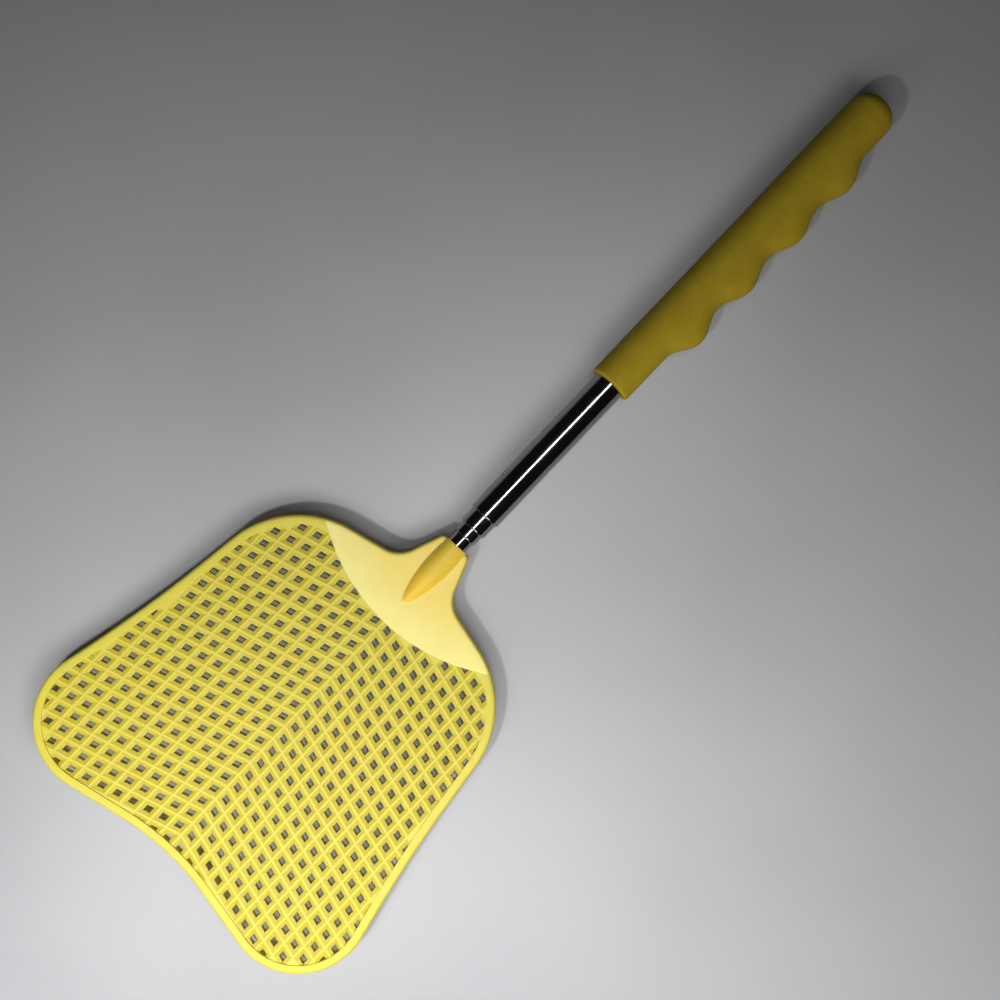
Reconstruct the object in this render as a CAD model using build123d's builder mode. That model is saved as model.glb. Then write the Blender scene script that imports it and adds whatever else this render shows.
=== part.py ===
from build123d import *

import os
from math import atan, cos, pi, radians, sin, tan

# A telescopic hand fly swatter: a moulded head on a four-section steel rod with a soft grip.
# The rod lies along Y with the head at +Y, and the swatter lies flat on its back on Z = 0.
# Every "along" length is measured along the rod from the mouth of the head's socket,
# positive into the head and negative towards the grip. Millimetres throughout.

# Whole swatter, pushed together
GRIP_REAR = -168.6
GRIP_MOUTH = -60.4
HEAD_REACH = 119.5
ROD_HEIGHT = 6.1
MOUTH_Y = -(GRIP_REAR + HEAD_REACH) / 2

# Rod: four drawn steel tubes, each a running fit over the friction shims of the next
OUTER_RADIUS = 4.5
RADIUS_STEP = 0.5
TUBE_WALL = 0.3
OUTER_TUBE_REAR = -163.3
INNER_TUBE_REAR = -158.0
TUBE_FRONTS = {"outer_tube": -10.7, "second_tube": -6.0, "third_tube": -2.85, "tip_tube": 11.0}

# Rolled lip at a tube's front, which holds the next section in
LIP_CLEARANCE = 0.04
LIP_EDGE = 0.2
LIP_FLAT = 0.5
LIP_ROUND = 0.1
LIP_LENGTH = 0.9

# Flared tail and rolled bead of a sliding tube, with the shims between them
FLARE_RISE = 0.15
FLARE_LENGTH = 0.8
FLARE_TAPER = 0.3
BEAD_RISE = 0.12
BEAD_START = 9.2
BEAD_FLANK = 0.25
BEAD_LENGTH = 1.0
SHIM_START = 1.15
SHIM_LENGTH = 8.0
SHIM_THICKNESS = 0.14
SHIM_CLEARANCE = 0.02
SHIM_SPLIT = 0.6
SHIM_SLOT_WIDTH = 1.0
SHIM_SLOT_LENGTH = 5.0

# Base plug in the rear of the outer tube
PLUG_FLANGE = 1.2
PLUG_FRONT = -158.3
PLUG_CORE_RADIUS = 2.4
PLUG_CORE_DEPTH = 4.5
PLUG_CHAMFER = 0.5

# Grip: round at the back, four finger waves on the -X side
GRIP_RADIUS = 6.1
GRIP_END_RADIUS = 5.4
GRIP_MOUTH_RADIUS = 0.8
GRIP_BORE_REAR = OUTER_TUBE_REAR - PLUG_FLANGE
WAVE_START = 16.2
WAVE_PITCH = 19.6
WAVE_DEPTHS = (6.1, 10.2, 7.1, 10.3, 7.6, 10.5, 8.0, 10.7, 7.35)
SECTIONS_PER_WAVE = 8
ROUNDING_STEPS = 6

# Head outline: corners of the right half from the mouth round to the middle, with radii
OUTLINE_CORNERS = ((4.7, 0.0), (9.65, 13.07), (43.0, 20.9), (49.18, 70.07), (62.1, 125.2))
OUTLINE_RADII = (1.6, 8.0, 28.0, 390.0, 20.0)
NOTCH_CORNER = (0.0, 112.8)
NOTCH_RADIUS = 74.0

# Head sections: rim and web at full thickness, mesh a little lower
HEAD_THICKNESS = 3.0
EDGE_RADIUS = 1.2
RIM_WIDTH = 2.6
WEB_RADIUS = 55.0
WEB_END = 28.6
MESH_THICKNESS = 2.3

# Mesh: ribs along the rod and ribs swept back from it, with a sloped pocket in each cell
CELL_PITCH = 4.5
SWEEP_ANGLE = 15.7
FIRST_CELL = 29.9
RIB_WIDTH = 0.5
HOLE_SIZE = 1.9
HOLE_DEPTH = 1.7
POCKET_RUNOUT = 0.05
CLIP_LEDGE = 0.05
COLUMNS = 12
ROWS = range(-5, 20)
SMALLEST_POCKET = 0.9

# Socket boss: a spindle round the rod's end that tapers into the web
BOSS_MOUTH_RADIUS = 3.6
BOSS_WIDEST = (8.0, 3.9)
BOSS_SHOULDER = (13.5, 3.4)
BOSS_TIP = (23.0, 1.1)

rod_plane = Plane(origin=(0, MOUTH_Y, ROD_HEIGHT), x_dir=(0, 1, 0), z_dir=(1, 0, 0))
head_plane = Plane(origin=(0, MOUTH_Y, ROD_HEIGHT))
rod_axis = Axis((0, MOUTH_Y, ROD_HEIGHT), (0, 1, 0))
sweep = tan(radians(SWEEP_ANGLE))
tube_names = list(TUBE_FRONTS)


def tube_radius(name):
    """Outside radius of a rod section."""
    return OUTER_RADIUS - RADIUS_STEP * tube_names.index(name)


def save(part, name):
    part.label = name
    export_step(part, f"parts/{name}.step")


def front_end(radius, front, has_lip):
    """Profile points of a tube's front end, from the outside to the bore."""
    bore = radius - TUBE_WALL
    if not has_lip:
        return [(front, radius), (front, bore)]
    lip = radius - RADIUS_STEP + LIP_CLEARANCE
    return [
        (front - LIP_FLAT, radius),
        (front - LIP_ROUND, (radius + lip + LIP_EDGE) / 2),
        (front, lip + LIP_EDGE),
        (front, lip),
        (front - LIP_FLAT, lip),
        (front - LIP_LENGTH, bore),
    ]


def tail_steps(rear):
    """Places along a sliding tube's tail, each with the wall's rise there."""
    bead = rear + BEAD_START
    return [
        (rear, FLARE_RISE),
        (rear + FLARE_LENGTH, FLARE_RISE),
        (rear + FLARE_LENGTH + FLARE_TAPER, 0),
        (bead, 0),
        (bead + BEAD_FLANK, BEAD_RISE),
        (bead + BEAD_LENGTH - BEAD_FLANK, BEAD_RISE),
        (bead + BEAD_LENGTH, 0),
    ]


def make_tube(name):
    """One drawn tube, with its rolled front lip and, on a sliding tube, its flare and bead."""
    radius = tube_radius(name)
    slides = name != tube_names[0]
    rear = INNER_TUBE_REAR if slides else OUTER_TUBE_REAR
    steps = tail_steps(rear) if slides else [(rear, 0)]
    outside = [(along, radius + rise) for along, rise in steps]
    inside = [(along, radius - TUBE_WALL + rise) for along, rise in reversed(steps)]
    front = front_end(radius, TUBE_FRONTS[name], name != tube_names[-1])
    with BuildPart() as tube:
        with BuildSketch(rod_plane):
            Polygon(*outside, *front, *inside)
        revolve(axis=rod_axis)
    return tube.part


def make_shim(radius, side):
    """Half a slotted spring sleeve round a sliding tube's tail: side is 1 above, -1 below."""
    rear = INNER_TUBE_REAR + SHIM_START
    middle = rear + SHIM_LENGTH / 2
    inside = radius + SHIM_CLEARANCE
    with BuildPart() as shim:
        with BuildSketch(rod_plane):
            with Locations((middle, inside + SHIM_THICKNESS / 2)):
                Rectangle(SHIM_LENGTH, SHIM_THICKNESS)
        revolve(axis=rod_axis)
        with BuildSketch(head_plane):
            with Locations((0, middle)):
                Rectangle(4 * radius, 2 * SHIM_LENGTH)
        extrude(amount=-side * 2 * radius, mode=Mode.SUBTRACT)
        with BuildSketch(head_plane.offset(side * SHIM_SPLIT / 2)):
            with Locations((0, middle)):
                Rectangle(4 * radius, 2 * SHIM_LENGTH)
        extrude(amount=-side * SHIM_SPLIT, mode=Mode.SUBTRACT)
        with BuildSketch(head_plane):
            with Locations((0, middle)):
                SlotOverall(SHIM_SLOT_LENGTH, SHIM_SLOT_WIDTH, rotation=90)
        extrude(amount=side * 2 * radius, mode=Mode.SUBTRACT)
    return shim.part


def finger_depth(distance):
    """Reach of the grip's finger side from the rod's axis, at a distance from its mouth."""
    halves = (distance - WAVE_START) / (WAVE_PITCH / 2)
    if halves <= 0:
        return WAVE_DEPTHS[0]
    if halves >= len(WAVE_DEPTHS) - 1:
        return WAVE_DEPTHS[-1]
    before = int(halves)
    ease = (1 - cos(pi * (halves - before))) / 2
    return WAVE_DEPTHS[before] * (1 - ease) + WAVE_DEPTHS[before + 1] * ease


def rounded_end(radius):
    """Distances in from a rounded end, each with how far the section is drawn in there."""
    turns = [radians(90 * step / ROUNDING_STEPS) for step in range(ROUNDING_STEPS + 1)]
    return [(radius * (1 - cos(turn)), radius * (1 - sin(turn))) for turn in turns]


def grip_spans():
    """The grip's three lofts, each a list of distances from the mouth with the draw-in there."""
    length = GRIP_MOUTH - GRIP_REAR
    mouth = rounded_end(GRIP_MOUTH_RADIUS)
    dome = [(length - distance, inset) for distance, inset in reversed(rounded_end(GRIP_END_RADIUS))]
    span = length - GRIP_END_RADIUS - GRIP_MOUTH_RADIUS
    count = round(span / WAVE_PITCH * SECTIONS_PER_WAVE)
    body = [(GRIP_MOUTH_RADIUS + span * step / count, 0.0) for step in range(count + 1)]
    return mouth, body, dome


def mesh_region(plane, inset):
    """Sketch of the head inside its rim and beyond its web, drawn in by an inset."""
    with BuildSketch(plane) as region:
        add(outline.sketch_local)
        offset(amount=-(RIM_WIDTH + inset), kind=Kind.ARC)
        with Locations((0, WEB_END - WEB_RADIUS)):
            Circle(WEB_RADIUS + inset, mode=Mode.SUBTRACT)
    return region.sketch


def cell_outline(plane, opening, side):
    """Sketch of one cell's four-sided opening, with its cross edges swept back."""
    half_width = opening / 2
    half_length = (CELL_PITCH - (CELL_PITCH - opening) / cos(atan(sweep))) / 2
    slant = side * sweep * half_width
    with BuildSketch(plane) as outline:
        Polygon(
            (-half_width, -half_length - slant),
            (half_width, -half_length + slant),
            (half_width, half_length + slant),
            (-half_width, half_length - slant),
        )
    return outline.sketch


def make_pocket(side):
    """The space in one mesh cell: a through hole with sloped sides above and below."""
    surface = MESH_THICKNESS / 2
    opening = CELL_PITCH - RIB_WIDTH
    widening = (opening - HOLE_SIZE) / (surface - HOLE_DEPTH / 2)
    outer_opening = opening + widening * POCKET_RUNOUT
    with BuildPart() as pocket:
        for up in (1, -1):
            outer = Plane(origin=(0, 0, up * (surface + POCKET_RUNOUT)))
            inner = Plane(origin=(0, 0, up * HOLE_DEPTH / 2))
            loft([cell_outline(inner, HOLE_SIZE, side), cell_outline(outer, outer_opening, side)], ruled=True)
        add(cell_outline(Plane(origin=(0, 0, -HOLE_DEPTH / 2)), HOLE_SIZE, side))
        extrude(amount=HOLE_DEPTH, dir=(0, 0, 1))
    return pocket.part


def cell_places(side):
    """Middles of the mesh cells on one side of the rod's axis."""
    return [
        head_plane.location
        * Location((side * (column + 0.5) * CELL_PITCH, FIRST_CELL + CELL_PITCH * (row + sweep * column), 0))
        for column in range(COLUMNS)
        for row in ROWS
    ]


# Head outline, the right half and then its mirror image
right = list(OUTLINE_CORNERS)
left = [(-across, along) for across, along in reversed(OUTLINE_CORNERS)]
radii = [*OUTLINE_RADII, NOTCH_RADIUS, *reversed(OUTLINE_RADII)]
with BuildSketch(head_plane) as outline:
    with BuildLine():
        FilletPolyline(*right, NOTCH_CORNER, *left, radius=radii, close=True)
    make_face()

# Every mesh pocket, clipped by the rim and the web
with BuildPart() as mesh_pockets:
    for side in (1, -1):
        pocket = make_pocket(side)
        with Locations(*cell_places(side)):
            add(pocket)
    add(mesh_region(head_plane.offset(-HEAD_THICKNESS), CLIP_LEDGE))
    extrude(amount=2 * HEAD_THICKNESS, dir=(0, 0, 1), mode=Mode.INTERSECT)
pockets = [solid for solid in mesh_pockets.solids() if solid.volume > SMALLEST_POCKET]

# Swatter head: rim, web and mesh in one plate, with the socket boss on the rod's axis
with BuildPart() as swatter_head:
    add(outline.sketch)
    extrude(amount=HEAD_THICKNESS / 2, both=True)
    rim_edges = swatter_head.edges().filter_by(Plane.XY, reverse=False).group_by(Axis.Z)
    fillet(rim_edges[0] + rim_edges[-1], EDGE_RADIUS)
    for up in (1, -1):
        add(mesh_region(head_plane.offset(up * MESH_THICKNESS / 2), 0))
        extrude(amount=HEAD_THICKNESS, dir=(0, 0, up), mode=Mode.SUBTRACT)
    add(pockets, mode=Mode.SUBTRACT)
    with BuildSketch(rod_plane):
        with BuildLine():
            barrel = ThreePointArc((0, BOSS_MOUTH_RADIUS), BOSS_WIDEST, BOSS_SHOULDER)
            nose = TangentArc(barrel @ 1, BOSS_TIP, tangent=barrel % 1)
            Polyline(nose @ 1, (BOSS_TIP[0], 0), (0, 0), barrel @ 0)
        make_face()
    revolve(axis=rod_axis)
    with BuildSketch(rod_plane):
        socket_end = TUBE_FRONTS["tip_tube"]
        socket_radius = tube_radius("tip_tube")
        Polygon((0, 0), (socket_end, 0), (socket_end, socket_radius), (0, socket_radius))
    revolve(axis=rod_axis, mode=Mode.SUBTRACT)

# Base plug: a flanged plastic cup that closes the outer tube and stops the sections
with BuildPart() as base_plug:
    bore = OUTER_RADIUS - TUBE_WALL
    flange_rear = OUTER_TUBE_REAR - PLUG_FLANGE
    with BuildSketch(rod_plane):
        Polygon(
            (flange_rear, PLUG_CORE_RADIUS),
            (flange_rear, OUTER_RADIUS),
            (OUTER_TUBE_REAR, OUTER_RADIUS),
            (OUTER_TUBE_REAR, bore),
            (PLUG_FRONT - PLUG_CHAMFER, bore),
            (PLUG_FRONT, bore - PLUG_CHAMFER),
            (PLUG_FRONT, 0),
            (flange_rear + PLUG_CORE_DEPTH, 0),
            (flange_rear + PLUG_CORE_DEPTH, PLUG_CORE_RADIUS),
        )
    revolve(axis=rod_axis)

# Grip: a soft sleeve with a closed, domed end
with BuildPart() as grip:
    for span in grip_spans():
        for distance, inset in span:
            across = Plane(
                origin=(0, MOUTH_Y + GRIP_MOUTH - distance, ROD_HEIGHT), x_dir=(1, 0, 0), z_dir=(0, -1, 0)
            )
            height = GRIP_RADIUS - inset
            with BuildSketch(across):
                with BuildLine():
                    ThreePointArc((0, -height), (height, 0), (0, height))
                    EllipticalCenterArc((0, 0), finger_depth(distance) - inset, height, 90, arc_size=180)
                make_face()
        loft()
    with BuildSketch(rod_plane):
        Polygon((GRIP_BORE_REAR, 0), (GRIP_BORE_REAR, OUTER_RADIUS), (0, OUTER_RADIUS), (0, 0))
    revolve(axis=rod_axis, mode=Mode.SUBTRACT)

os.makedirs("parts", exist_ok=True)
save(swatter_head.part, "swatter_head")
save(base_plug.part, "base_plug")
save(grip.part, "grip")
for name in tube_names:
    save(make_tube(name), name)
for name in tube_names[1:]:
    save(make_shim(tube_radius(name), 1), f"{name}_upper_shim")
    save(make_shim(tube_radius(name), -1), f"{name}_lower_shim")
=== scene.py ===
from math import cos, pi, radians, sin

import bpy
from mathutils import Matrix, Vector, noise


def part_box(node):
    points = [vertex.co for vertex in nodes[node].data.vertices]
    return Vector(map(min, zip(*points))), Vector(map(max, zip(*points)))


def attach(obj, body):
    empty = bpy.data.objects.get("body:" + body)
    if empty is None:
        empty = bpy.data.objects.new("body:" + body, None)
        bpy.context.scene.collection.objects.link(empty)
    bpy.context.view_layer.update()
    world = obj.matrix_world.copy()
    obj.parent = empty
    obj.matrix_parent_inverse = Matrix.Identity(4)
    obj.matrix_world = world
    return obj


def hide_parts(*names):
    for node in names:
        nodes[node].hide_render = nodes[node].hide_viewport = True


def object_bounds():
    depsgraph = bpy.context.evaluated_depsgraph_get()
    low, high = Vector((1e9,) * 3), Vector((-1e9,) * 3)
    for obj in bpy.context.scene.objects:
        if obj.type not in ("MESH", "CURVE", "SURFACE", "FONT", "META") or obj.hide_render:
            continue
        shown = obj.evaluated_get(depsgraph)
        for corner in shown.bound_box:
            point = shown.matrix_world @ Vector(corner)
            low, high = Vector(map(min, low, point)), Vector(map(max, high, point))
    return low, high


# Looks for the telescopic hand fly swatter. Lengths are in metres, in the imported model's frame:
# the rod lies along Y with the head at +Y, and the swatter lies on the floor at Z = 0.
MM = 0.001

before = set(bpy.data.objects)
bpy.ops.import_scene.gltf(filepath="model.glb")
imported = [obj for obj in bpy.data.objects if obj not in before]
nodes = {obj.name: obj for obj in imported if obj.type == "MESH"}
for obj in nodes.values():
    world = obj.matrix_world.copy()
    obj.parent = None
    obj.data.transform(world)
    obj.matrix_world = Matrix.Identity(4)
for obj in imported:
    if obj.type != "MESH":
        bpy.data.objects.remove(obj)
cad_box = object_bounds()

# Places read from the frame
grip_low, grip_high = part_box("grip")
head_low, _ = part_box("swatter_head")
outer_low, outer_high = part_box("outer_tube")
AXIS_HEIGHT = (outer_low.z + outer_high.z) / 2
SOCKET_MOUTH = head_low.y
FLOOR_HEIGHT = cad_box[0].z

# Head, as the CAD has it: half the thickness of plate and mesh, and the arc that ends the web
PLATE_HALF = 1.5 * MM
MESH_HALF = 1.15 * MM
WEB_RADIUS = 55 * MM
WEB_END = 28.6 * MM

# Head colours, painted highlight, sheen and shade among them: where one gives way to the next
CREST_HIGHLIGHT_BLEND = 0.02 * MM
WEB_EDGE_BLEND = 0.3 * MM
WEB_FACE_BLEND = 0.3 * MM
WEB_FACE_MARGIN = 0.05 * MM
WEB_SHEEN_WIDTH = 16 * MM
BOSS_COLOUR_START = 0.02 * MM
BOSS_COLOUR_FULL = 0.5 * MM

# Grip: four finger waves on the -X side, a rounded mouth and a domed end
GRIP_RADIUS = AXIS_HEIGHT - grip_low.z
GRIP_END_RADIUS = 5.4 * MM
GRIP_MOUTH_RADIUS = 0.8 * MM
WAVE_START = 16.2 * MM
WAVE_PITCH = 19.6 * MM
WAVE_DEPTHS = [depth * MM for depth in (6.1, 10.2, 7.1, 10.3, 7.6, 10.5, 8.0, 10.7, 7.35)]
GRIP_SIDES = 128
GRIP_BODY_RINGS = 300
GRIP_MOUTH_RINGS = 6
GRIP_DOME_RINGS = 22
GRIP_BORE_CLEARANCE = 0.02 * MM
FOAM_RIPPLE = 0.04 * MM
FOAM_RIPPLE_SIZE = 3.0 * MM

# Base plug, as the CAD has it: its flange behind the outer tube, and the gap left behind that
PLUG_FLANGE = 1.2 * MM
PLUG_GAP = 0.05 * MM

# Tubes: drawn steel with a rolled lip, and a flare and a bead on a sliding tube's tail
TUBE_WALL = 0.3 * MM
TUBE_SIDES = 128
LIP_CLEARANCE = 0.04 * MM
RADIUS_STEP = 0.5 * MM
LIP_ROUND = 0.5 * MM
LIP_EDGE = 0.08 * MM
LIP_LENGTH = 0.9 * MM
FLARE_RISE = 0.15 * MM
FLARE_LENGTH = 0.8 * MM
FLARE_TAPER = 0.3 * MM
BEAD_START = 9.2 * MM
BEAD_RISE = 0.12 * MM
BEAD_LENGTH = 1.0 * MM
ARC_STEPS = 8
SHARP_ANGLE = radians(40)

# Camera, straight above the swatter with a slight lean
CAMERA_PLACE = Vector((6.32, 11.43, 279.13)) * MM
CAMERA_TURN = (radians(-0.314), radians(-1.52), radians(-136.358))
CAMERA_LENS = 36.0
CAMERA_SENSOR = 36.0
CAMERA_NEAR = 0.01

# Floor: it glows by itself beyond the lamps' reach, from a first to a last distance from the origin
FLOOR_SIZE = 20.0
GLOW_START = 0.22
GLOW_END = 0.80
GLOW_STRENGTH = 0.34
GLOW_COLOUR = (0.94, 0.96, 1.0, 1.0)

# World: dim where it lights the scene, pale where the camera sees it
WORLD_LIT = 0.01
WORLD_SEEN = 0.38
WORLD_COLOUR = (0.92, 0.95, 1.0, 1.0)

# Turn of the picture's edges against the rod
PICTURE_TURN = radians(43.6)

# Values that noise mostly lies between
NOISE_SPREAD = (0.3, 0.7)

# Where Blender's Mix node keeps its two colour inputs and its colour output
MIX_FIRST = 6
MIX_SECOND = 7
MIX_RESULT = 2


def link(obj):
    bpy.context.scene.collection.objects.link(obj)
    return obj


def new_mesh(name, points, faces):
    """A smooth-shaded mesh object, sharp only where its faces really turn."""
    mesh = bpy.data.meshes.new(name)
    mesh.from_pydata(points, [], faces)
    mesh.validate()
    mesh.shade_smooth()
    mesh.set_sharp_from_angle(angle=SHARP_ANGLE)
    return link(bpy.data.objects.new(name, mesh))


# ---------------------------------------------------------------- materials


def new_material(name):
    """A node material, with its tree, its shader and the rest-frame coordinates of its surface."""
    material = bpy.data.materials.new(name)
    material.use_nodes = True
    tree = material.node_tree
    shader = tree.nodes["Principled BSDF"]
    place = tree.nodes.new("ShaderNodeTexCoord").outputs["Object"]
    return material, tree, shader, place


def math_node(tree, operation, first, second=None):
    node = tree.nodes.new("ShaderNodeMath")
    node.operation = operation
    for socket, value in zip(node.inputs, (first, second)):
        if isinstance(value, bpy.types.NodeSocket):
            tree.links.new(value, socket)
        elif value is not None:
            socket.default_value = value
    return node.outputs[0]


def ramp_between(tree, value, start, end, low=0.0, high=1.0):
    """A smooth step of a value from low at start to high at end."""
    node = tree.nodes.new("ShaderNodeMapRange")
    node.interpolation_type = "SMOOTHSTEP"
    tree.links.new(value, node.inputs["Value"])
    node.inputs["From Min"].default_value = start
    node.inputs["From Max"].default_value = end
    node.inputs["To Min"].default_value = low
    node.inputs["To Max"].default_value = high
    return node.outputs["Result"]


def mix_colour(tree, factor, first, second):
    node = tree.nodes.new("ShaderNodeMix")
    node.data_type = "RGBA"
    tree.links.new(factor, node.inputs["Factor"])
    for index, value in ((MIX_FIRST, first), (MIX_SECOND, second)):
        if isinstance(value, bpy.types.NodeSocket):
            tree.links.new(value, node.inputs[index])
        else:
            node.inputs[index].default_value = (*value, 1.0)
    return node.outputs[MIX_RESULT]


def noise_value(tree, place, size, detail=2.0, stretch=(1.0, 1.0, 1.0)):
    """Noise with features of about a given size, longer along an axis where stretch is above 1."""
    mapping = tree.nodes.new("ShaderNodeMapping")
    tree.links.new(place, mapping.inputs["Vector"])
    mapping.inputs["Scale"].default_value = [1 / (size * axis) for axis in stretch]
    texture = tree.nodes.new("ShaderNodeTexNoise")
    texture.inputs["Scale"].default_value = 1.0
    texture.inputs["Detail"].default_value = detail
    tree.links.new(mapping.outputs["Vector"], texture.inputs["Vector"])
    return texture.outputs["Fac"]


def add_bump(tree, shader, height, strength, distance):
    bump = tree.nodes.new("ShaderNodeBump")
    bump.inputs["Strength"].default_value = strength
    bump.inputs["Distance"].default_value = distance
    tree.links.new(height, bump.inputs["Height"])
    tree.links.new(bump.outputs["Normal"], shader.inputs["Normal"])


def head_plastic():
    """Satin yellow polyethylene: a web made pale by painted sheen, an orange boss partly deepened
    by painted shade, and a mesh deeper below crests painted with a highlight.
    """
    material, tree, shader, place = new_material("head_plastic")
    split = tree.nodes.new("ShaderNodeSeparateXYZ")
    tree.links.new(place, split.inputs[0])
    across, along, up = split.outputs
    from_middle = math_node(tree, "ABSOLUTE", math_node(tree, "SUBTRACT", up, AXIS_HEIGHT))

    # Painted highlight: the mesh crests are painted lighter than the slopes below them.
    crest_highlight = ramp_between(tree, from_middle, MESH_HALF - CREST_HIGHLIGHT_BLEND, MESH_HALF)
    highlighted_mesh_colour = mix_colour(tree, crest_highlight, (0.60, 0.50, 0.042), (0.74, 0.65, 0.085))

    beyond = math_node(tree, "SUBTRACT", along, SOCKET_MOUTH + WEB_END - WEB_RADIUS)
    squares = math_node(
        tree,
        "ADD",
        math_node(tree, "MULTIPLY", beyond, beyond),
        math_node(tree, "MULTIPLY", across, across),
    )
    reach = math_node(tree, "SQRT", squares)
    inside_web = ramp_between(tree, reach, WEB_RADIUS, WEB_RADIUS + WEB_EDGE_BLEND, 1.0, 0.0)
    on_face = ramp_between(
        tree, from_middle, PLATE_HALF - WEB_FACE_BLEND, PLATE_HALF - WEB_FACE_MARGIN
    )
    web_mask = math_node(tree, "MULTIPLY", inside_web, on_face)
    # Painted sheen: the web is painted paler than the mesh, and paler still toward the mesh.
    painted_web_sheen = ramp_between(tree, reach, WEB_RADIUS - WEB_SHEEN_WIDTH, WEB_RADIUS)
    sheen_web_colour = mix_colour(tree, painted_web_sheen, (0.97, 0.74, 0.17), (1.0, 0.86, 0.30))
    plate_colour = mix_colour(tree, web_mask, highlighted_mesh_colour, sheen_web_colour)

    # The boss is painted a deeper orange: partly the thick plastic's own colour, partly painted
    # shade on its flanks.
    boss_mask = ramp_between(
        tree, from_middle, PLATE_HALF + BOSS_COLOUR_START, PLATE_HALF + BOSS_COLOUR_FULL
    )
    colour = mix_colour(tree, boss_mask, plate_colour, (0.88, 0.58, 0.055))

    cloud = noise_value(tree, place, 9 * MM, detail=3.0)
    shade = ramp_between(tree, cloud, *NOISE_SPREAD, 0.0, 0.10)
    clouded = mix_colour(tree, shade, colour, (0.62, 0.50, 0.05))
    tree.links.new(clouded, shader.inputs["Base Color"])

    grain = noise_value(tree, place, 0.5 * MM, detail=3.0)
    gloss = ramp_between(tree, grain, *NOISE_SPREAD, 0.38, 0.52)
    tree.links.new(gloss, shader.inputs["Roughness"])
    add_bump(tree, shader, noise_value(tree, place, 0.35 * MM), 0.12, 0.02 * MM)
    shader.inputs["IOR"].default_value = 1.5
    shader.inputs["Subsurface Weight"].default_value = 0.5
    shader.inputs["Subsurface Radius"].default_value = (1.0, 0.92, 0.25)
    shader.inputs["Subsurface Scale"].default_value = 2.2 * MM
    return material


def grip_foam():
    """Matte mustard foam rubber with a fine skin, small pores shown as specks of painted shade, and
    faint mottling.
    """
    material, tree, shader, place = new_material("grip_foam")
    mottle = ramp_between(tree, noise_value(tree, place, 5 * MM, detail=4.0), *NOISE_SPREAD)
    colour = mix_colour(tree, mottle, (0.385, 0.270, 0.0105), (0.42, 0.30, 0.013))
    # Painted shade in the pores: small dark specks over the foam colour.
    pores = noise_value(tree, place, 0.45 * MM, detail=2.0)
    pore_shade = ramp_between(tree, pores, 0.28, 0.5, 0.28, 0.0)
    pore_shaded_colour = mix_colour(tree, pore_shade, colour, (0.15, 0.095, 0.004))
    tree.links.new(pore_shaded_colour, shader.inputs["Base Color"])
    grain = noise_value(tree, place, 0.28 * MM, detail=4.0)
    add_bump(tree, shader, grain, 0.35, 0.08 * MM)
    shader.inputs["Roughness"].default_value = 0.82
    shader.inputs["Specular IOR Level"].default_value = 0.25
    return material


def polished_steel():
    """Polished drawn tube: faint lines along its length and soft cloudiness in the gloss."""
    material, tree, shader, place = new_material("polished_steel")
    lines = noise_value(tree, place, 0.12 * MM, detail=3.0, stretch=(1.0, 300.0, 1.0))
    smudge = noise_value(tree, place, 6 * MM, detail=3.0)
    shader.inputs["Metallic"].default_value = 1.0
    tone = ramp_between(tree, lines, 0.35, 0.65)
    colour = mix_colour(tree, tone, (0.32, 0.31, 0.305), (0.38, 0.37, 0.365))
    tree.links.new(colour, shader.inputs["Base Color"])
    gloss = ramp_between(tree, smudge, 0.35, 0.7, 0.09, 0.14)
    tree.links.new(gloss, shader.inputs["Roughness"])
    return material


def shim_bronze():
    """Rolled spring strip with rubbed lines along the rod and a brown film of grease."""
    material, tree, shader, place = new_material("shim_bronze")
    rubbed = noise_value(tree, place, 0.2 * MM, detail=3.0, stretch=(1.0, 20.0, 1.0))
    film = ramp_between(tree, noise_value(tree, place, 1.5 * MM, detail=3.0), 0.4, 0.7)
    worn = ramp_between(tree, rubbed, *NOISE_SPREAD)
    metal = mix_colour(tree, worn, (0.62, 0.40, 0.18), (0.80, 0.58, 0.30))
    colour = mix_colour(tree, film, metal, (0.30, 0.19, 0.09))
    tree.links.new(colour, shader.inputs["Base Color"])
    gloss = ramp_between(tree, rubbed, *NOISE_SPREAD, 0.25, 0.45)
    tree.links.new(gloss, shader.inputs["Roughness"])
    shader.inputs["Metallic"].default_value = 1.0
    return material


def plug_plastic():
    """Black moulded plastic with a fine spark-eroded texture."""
    material, tree, shader, place = new_material("plug_plastic")
    grain = noise_value(tree, place, 0.25 * MM, detail=3.0)
    tone = ramp_between(tree, grain, *NOISE_SPREAD)
    colour = mix_colour(tree, tone, (0.012, 0.012, 0.013), (0.035, 0.034, 0.036))
    tree.links.new(colour, shader.inputs["Base Color"])
    gloss = ramp_between(tree, grain, *NOISE_SPREAD, 0.40, 0.60)
    tree.links.new(gloss, shader.inputs["Roughness"])
    add_bump(tree, shader, grain, 0.3, 0.03 * MM)
    return material


def floor_sheet():
    """Pale smooth sheet with an uneven gloss, which glows by itself beyond the lamps' reach."""
    material, tree, shader, place = new_material("floor_sheet")
    cloud = ramp_between(tree, noise_value(tree, place, 90 * MM, detail=4.0), *NOISE_SPREAD)
    colour = mix_colour(tree, cloud, (0.440, 0.445, 0.458), (0.475, 0.48, 0.492))
    tree.links.new(colour, shader.inputs["Base Color"])
    gloss = ramp_between(tree, cloud, 0.0, 1.0, 0.34, 0.42)
    tree.links.new(gloss, shader.inputs["Roughness"])
    distance = tree.nodes.new("ShaderNodeVectorMath")
    distance.operation = "LENGTH"
    tree.links.new(place, distance.inputs[0])
    away = distance.outputs["Value"]
    glow = ramp_between(tree, away, GLOW_START, GLOW_END, 0.0, GLOW_STRENGTH)
    tree.links.new(glow, shader.inputs["Emission Strength"])
    shader.inputs["Emission Color"].default_value = GLOW_COLOUR
    return material


# ---------------------------------------------------------------- rings


def ring_turns(sides):
    return [2 * pi * side / sides for side in range(sides)]


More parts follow.
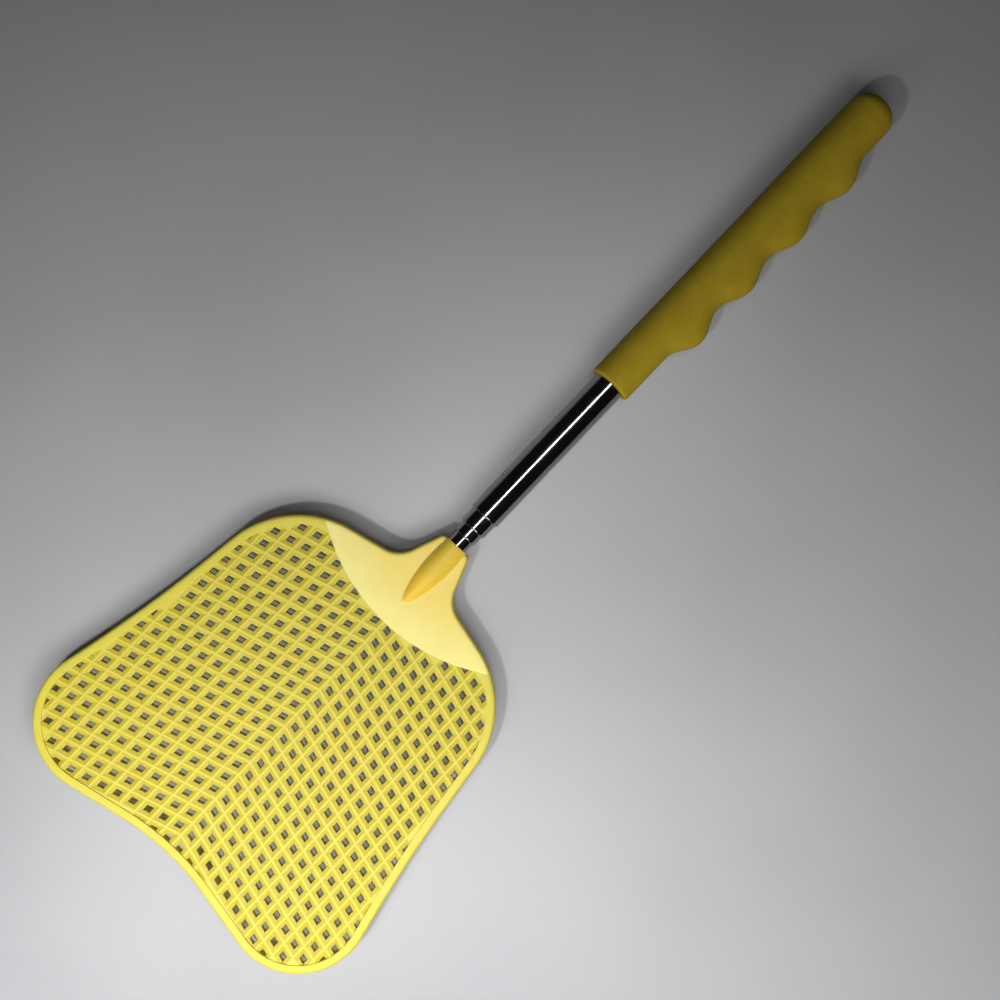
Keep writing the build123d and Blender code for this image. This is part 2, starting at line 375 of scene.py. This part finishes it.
def band(base, over, sides):
    """The faces between two rings of points, from the index that each ring starts at."""
    faces = []
    for side in range(sides):
        following = (side + 1) % sides
        faces.append((base + side, base + following, over + following, over + side))
    return faces


# ---------------------------------------------------------------- grip


def finger_reach(distance):
    """Reach of the grip's finger side from the rod's axis, at a distance from its mouth."""
    halves = (distance - WAVE_START) / (WAVE_PITCH / 2)
    if halves <= 0:
        return WAVE_DEPTHS[0]
    if halves >= len(WAVE_DEPTHS) - 1:
        return WAVE_DEPTHS[-1]
    before = int(halves)
    ease = (1 - cos(pi * (halves - before))) / 2
    return WAVE_DEPTHS[before] * (1 - ease) + WAVE_DEPTHS[before + 1] * ease


def rounded_end(radius, steps):
    """Distances in from a rounded end, each with how far the section is drawn in there."""
    turns = [radians(90 * step / steps) for step in range(steps + 1)]
    return [(radius * (1 - cos(turn)), radius * (1 - sin(turn))) for turn in turns]


def grip_sections():
    """(distance from the mouth, draw-in) of every ring outside the grip, from mouth to dome."""
    length = grip_high.y - grip_low.y
    body = length - GRIP_MOUTH_RADIUS - GRIP_END_RADIUS
    mouth = rounded_end(GRIP_MOUTH_RADIUS, GRIP_MOUTH_RINGS)
    middle = [
        (GRIP_MOUTH_RADIUS + body * step / GRIP_BODY_RINGS, 0.0)
        for step in range(1, GRIP_BODY_RINGS)
    ]
    end = rounded_end(GRIP_END_RADIUS, GRIP_DOME_RINGS)
    dome = [(length - distance, inset) for distance, inset in reversed(end)]
    return mouth + middle + dome


def foam_dip(point):
    """How far the moulded skin sinks below its true surface at a point."""
    return FOAM_RIPPLE * (0.5 + 0.5 * noise.noise(point / FOAM_RIPPLE_SIZE))


def make_grip():
    """The soft sleeve: a wavy outside, a flat mouth ring and the bore that holds the outer tube."""
    bore = (outer_high.z - outer_low.z) / 2 + GRIP_BORE_CLEARANCE
    bore_rear = outer_low.y - PLUG_FLANGE - PLUG_GAP
    turns = ring_turns(GRIP_SIDES)
    rings = [
        [(bore * cos(turn), along, AXIS_HEIGHT + bore * sin(turn)) for turn in turns]
        for along in (bore_rear, grip_high.y)
    ]
    for distance, inset in grip_sections():
        height = GRIP_RADIUS - inset
        reach = finger_reach(distance) - inset
        along = grip_high.y - distance
        ring = []
        for turn in turns:
            width = height if cos(turn) >= 0 else reach
            dip = foam_dip(Vector((width * cos(turn), along, height * sin(turn))))
            ring.append(
                ((width - dip) * cos(turn), along, AXIS_HEIGHT + (height - dip) * sin(turn))
            )
        rings.append(ring)
    points = [point for ring in rings for point in ring]
    starts = range(0, len(points), GRIP_SIDES)
    faces = []
    for base, over in zip(starts, starts[1:]):
        faces.extend(band(base, over, GRIP_SIDES))
    faces.append(tuple(reversed(range(GRIP_SIDES))))
    faces.append(tuple(range(starts[-1], starts[-1] + GRIP_SIDES)))
    return new_mesh("grip_sleeve", points, faces)


# ---------------------------------------------------------------- tubes


def lathe(name, profile):
    """A solid of revolution round the rod's axis, from a closed profile of (along, radius)."""
    points = [
        (radius * cos(turn), along, AXIS_HEIGHT + radius * sin(turn))
        for along, radius in profile
        for turn in ring_turns(TUBE_SIDES)
    ]
    faces = []
    for base in range(0, len(points), TUBE_SIDES):
        over = (base + TUBE_SIDES) % len(points)
        faces.extend(band(base, over, TUBE_SIDES))
    return new_mesh(name, points, faces)


def lip_profile(front, radius):
    """Rolled front end of a tube that holds a smaller one: outside round the nose to the bore."""
    lip = radius - RADIUS_STEP + LIP_CLEARANCE
    rise = radius - lip - LIP_EDGE
    nose = []
    for step in range(ARC_STEPS + 1):
        turn = radians(90 * step / ARC_STEPS)
        along = front - LIP_EDGE - LIP_ROUND * (1 - sin(turn))
        nose.append((along, lip + LIP_EDGE + rise * cos(turn)))
    edge = [(front, lip + LIP_EDGE / 2), (front - LIP_EDGE, lip)]
    return [*nose, *edge, (front - LIP_ROUND, lip), (front - LIP_LENGTH, radius - TUBE_WALL)]


def tail_profile(rear):
    """Places along a sliding tube's tail, each with the wall's rise there."""
    bead = rear + BEAD_START
    steps = [
        (rear, FLARE_RISE),
        (rear + FLARE_LENGTH, FLARE_RISE),
        (rear + FLARE_LENGTH + FLARE_TAPER, 0.0),
    ]
    for step in range(ARC_STEPS + 1):
        share = step / ARC_STEPS
        steps.append((bead + BEAD_LENGTH * share, BEAD_RISE * sin(pi * share)))
    return steps


def make_tube(node, has_lip, slides):
    """One rod section, in place of its CAD node."""
    low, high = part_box(node)
    radius = (high.x - low.x) / 2 - (FLARE_RISE if slides else 0.0)
    tail = tail_profile(low.y) if slides else [(low.y, 0.0)]
    outside = [(along, radius + rise) for along, rise in tail]
    inside = [(along, radius - TUBE_WALL + rise) for along, rise in reversed(tail)]
    if has_lip:
        front = lip_profile(high.y, radius)
    else:
        front = [(high.y, radius), (high.y, radius - TUBE_WALL)]
    return lathe(f"{node}_steel", [*outside, *front, *inside])


# ---------------------------------------------------------------- build

steel = polished_steel()
bronze = shim_bronze()


def finish_piece(piece, material, body, node):
    """Gives a new piece its material and its place on the frame."""
    piece.data.materials.append(material)
    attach(piece, body)
    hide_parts(node)


def paint(node, material):
    """A CAD node that stays, with a better material."""
    nodes[node].data.materials.clear()
    nodes[node].data.materials.append(material)


finish_piece(make_grip(), grip_foam(), "handle", "grip")
TUBES = (
    ("outer_tube", "handle", True, False),
    ("second_tube", "second_section", True, True),
    ("third_tube", "third_section", True, True),
    ("tip_tube", "tip_section", False, True),
)
for node, body, has_lip, slides in TUBES:
    finish_piece(make_tube(node, has_lip, slides), steel, body, node)
paint("swatter_head", head_plastic())
paint("base_plug", plug_plastic())
for node in nodes:
    if node.endswith("_shim"):
        paint(node, bronze)

# ---------------------------------------------------------------- camera, floor and lights

camera_data = bpy.data.cameras.new("camera")
camera_data.lens = CAMERA_LENS
camera_data.sensor_width = CAMERA_SENSOR
camera_data.clip_start = CAMERA_NEAR
camera = link(bpy.data.objects.new("camera", camera_data))
camera.location = CAMERA_PLACE
camera.rotation_euler = CAMERA_TURN
bpy.context.scene.camera = camera

half = FLOOR_SIZE / 2
corners = [(-half, -half), (half, -half), (half, half), (-half, half)]
floor = new_mesh("floor", [(*corner, FLOOR_HEIGHT) for corner in corners], [(0, 1, 2, 3)])
floor.data.materials.append(floor_sheet())


def area_light(name, place, size, power, turn=0.0, in_gloss=True, in_diffuse=True):
    """A rectangular lamp that faces straight down, unseen by the camera.

    Its size is in metres and its power in watts. Surfaces may take it in their gloss, their
    diffuse colour or both.
    """
    data = bpy.data.lights.new(name, "AREA")
    data.shape = "RECTANGLE"
    data.size, data.size_y = size
    data.energy = power
    lamp = link(bpy.data.objects.new(name, data))
    lamp.location = place
    lamp.rotation_euler = (0.0, 0.0, turn)
    lamp.visible_camera = False
    lamp.visible_glossy = in_gloss
    lamp.visible_diffuse = in_diffuse


# A key, a fill on the -X side, a small lamp beyond the head that shines through its mesh, one for
# the head at full reach, and a long one seen only in gloss, for the stripe along the tube
area_light("key", (-0.055, 0.165, 0.165), size=(0.22, 0.09), power=0.24, turn=PICTURE_TURN)
area_light(
    "side_fill",
    (-0.20, 0.06, 0.25),
    size=(0.25, 0.25),
    power=0.46,
    turn=PICTURE_TURN,
    in_gloss=False,
)
area_light("through_mesh", (0.003, 0.207, 0.279), size=(0.03, 0.03), power=0.43, in_gloss=False)
area_light("extended_head", (0.0, 0.64, 0.30), size=(0.30, 0.30), power=0.4, in_gloss=False)
area_light("rod_glint", (0.0, -0.04, 0.60), size=(0.08, 0.40), power=1.0, in_diffuse=False)

world = bpy.data.worlds.new("studio")
world.use_nodes = True
sky = world.node_tree
background = sky.nodes["Background"]
seen = sky.nodes.new("ShaderNodeLightPath").outputs["Is Camera Ray"]
strength = ramp_between(sky, seen, 0.0, 1.0, WORLD_LIT, WORLD_SEEN)
sky.links.new(strength, background.inputs["Strength"])
background.inputs["Color"].default_value = WORLD_COLOUR
bpy.context.scene.world = world
bpy.context.scene.view_settings.view_transform = "Standard"
